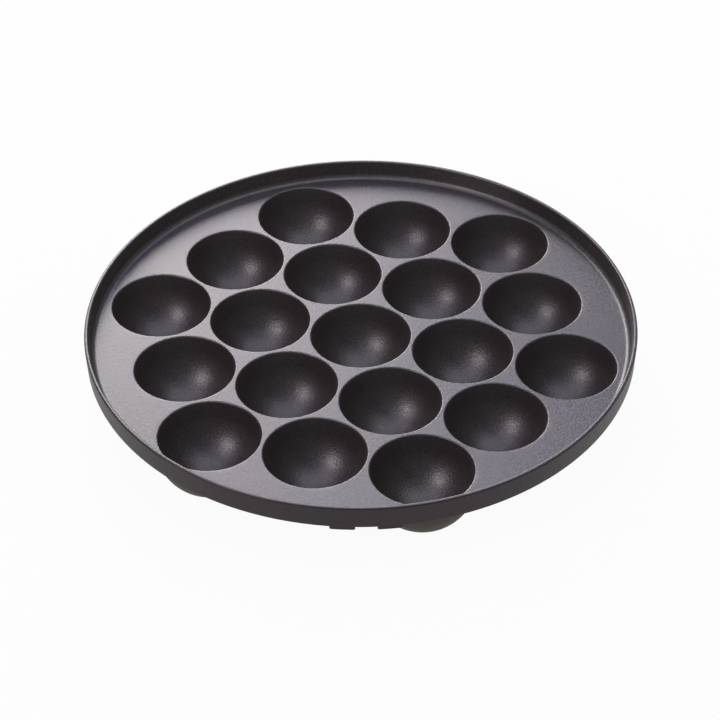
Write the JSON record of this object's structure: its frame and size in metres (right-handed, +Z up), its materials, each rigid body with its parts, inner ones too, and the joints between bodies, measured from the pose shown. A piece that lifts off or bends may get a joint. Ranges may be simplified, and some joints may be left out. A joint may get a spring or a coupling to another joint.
{
  "type": "takoyaki griddle plate",
  "caption": "Round cast griddle plate with an upstanding rim and a hexagonal field of hemispherical wells, for cooking batter balls over a tabletop heater.",
  "frame": {"origin": "centre of the plate on the table that it stands on, under the feet of the wells", "axes": "+Z up out of the wells' mouths, +X along the middle row of wells, -Y towards the front rows"},
  "size_m": [0.2292, 0.2292, 0.0331],
  "materials": {
    "nonstick_coat": "satin dark non-stick coat over cast aluminium",
    "baked_coat": "dull baked heat-proof coat over cast aluminium"
  },
  "bodies": {
    "root": {"well_01": "nonstick_coat", "well_02": "nonstick_coat", "well_03": "nonstick_coat", "well_04": "nonstick_coat", "well_05": "nonstick_coat", "well_06": "nonstick_coat", "well_07": "nonstick_coat", "well_08": "nonstick_coat", "well_09": "nonstick_coat", "well_10": "nonstick_coat", "well_11": "nonstick_coat", "well_12": "nonstick_coat", "well_13": "nonstick_coat", "well_14": "nonstick_coat", "well_15": "nonstick_coat", "well_16": "nonstick_coat", "well_17": "nonstick_coat", "well_18": "nonstick_coat", "well_19": "nonstick_coat", "rim_wall": "nonstick_coat", "lug_1a": "baked_coat", "lug_1b": "baked_coat", "lug_2a": "baked_coat", "lug_2b": "baked_coat"}
  },
  "joints": []
}
